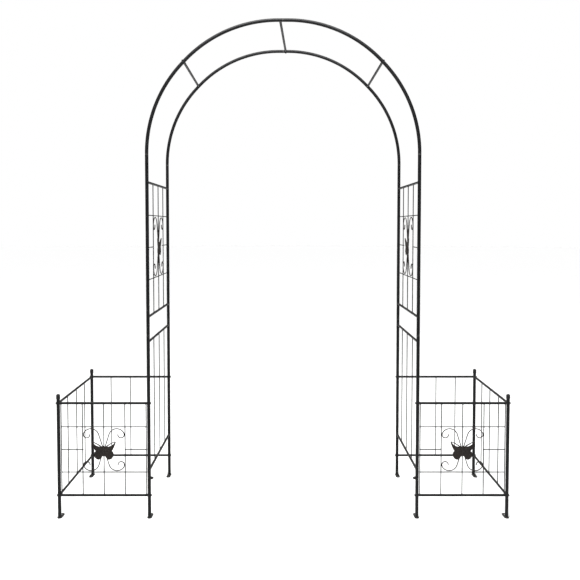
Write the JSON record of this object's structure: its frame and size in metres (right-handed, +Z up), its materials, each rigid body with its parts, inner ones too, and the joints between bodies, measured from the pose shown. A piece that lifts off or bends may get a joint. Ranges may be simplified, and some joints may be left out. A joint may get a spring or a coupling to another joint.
{
  "type": "trellis arch",
  "caption": "Round-topped garden arch of steel tube with wire side panels and an open-topped planter box on each side, decorated with butterflies and scrolls.",
  "frame": {"origin": "on the ground in the middle of the archway, which is the middle of the base of the box around the part", "axes": "+X across the archway towards the right planter box, +Y from the front hoop to the rear hoop, +Z up"},
  "size_m": [1.861, 0.52, 2.03],
  "materials": {
    "frame": "black satin powder coat on steel tube and wire",
    "ornament": "black satin powder coat on formed wire and plate",
    "cap": "black moulded plastic, matt",
    "screw": "blackened steel fasteners"
  },
  "bodies": {
    "root": {"arch_quarter_front_left": "frame", "arch_quarter_front_right": "frame", "arch_quarter_rear_left": "frame", "arch_quarter_rear_right": "frame", "box_front_panel_left_butterfly": "ornament", "box_front_panel_left_cross_wires": "frame", "box_front_panel_left_rails": "frame", "box_front_panel_left_scrolls": "ornament", "box_front_panel_left_upright_wires": "frame", "box_front_panel_right_butterfly": "ornament", "box_front_panel_right_cross_wires": "frame", "box_front_panel_right_rails": "frame", "box_front_panel_right_scrolls": "ornament", "box_front_panel_right_upright_wires": "frame", "box_outer_panel_left_rails": "frame", "box_outer_panel_left_wires": "frame", "box_outer_panel_right_rails": "frame", "box_outer_panel_right_wires": "frame", "box_rear_panel_left_rails": "frame", "box_rear_panel_left_wires": "frame", "box_rear_panel_right_rails": "frame", "box_rear_panel_right_wires": "frame", "box_screws": "screw", "crossbar_crown": "frame", "crossbar_left": "frame", "crossbar_right": "frame", "crossbar_screws": "screw", "front_leg_clamp_screws": "screw", "leg_foot_plates": "frame", "lower_leg_front_left": "frame", "lower_leg_front_right": "frame", "lower_leg_rear_left": "frame", "lower_leg_rear_right": "frame", "lower_side_panel_left_rails": "frame", "lower_side_panel_left_wires": "frame", "lower_side_panel_right_rails": "frame", "lower_side_panel_right_wires": "frame", "post_cap_front_left": "cap", "post_cap_front_right": "cap", "post_cap_rear_left": "cap", "post_cap_rear_right": "cap", "post_foot_plates": "frame", "post_front_left": "frame", "post_front_right": "frame", "post_rear_left": "frame", "post_rear_right": "frame", "upper_leg_front_left": "frame", "upper_leg_front_right": "frame", "upper_leg_rear_left": "frame", "upper_leg_rear_right": "frame", "upper_side_panel_left_butterfly": "ornament", "upper_side_panel_left_cross_wires": "frame", "upper_side_panel_left_rails": "frame", "upper_side_panel_left_scrolls": "ornament", "upper_side_panel_left_upright_wires": "frame", "upper_side_panel_right_butterfly": "ornament", "upper_side_panel_right_cross_wires": "frame", "upper_side_panel_right_rails": "frame", "upper_side_panel_right_scrolls": "ornament", "upper_side_panel_right_upright_wires": "frame"}
  },
  "joints": []
}
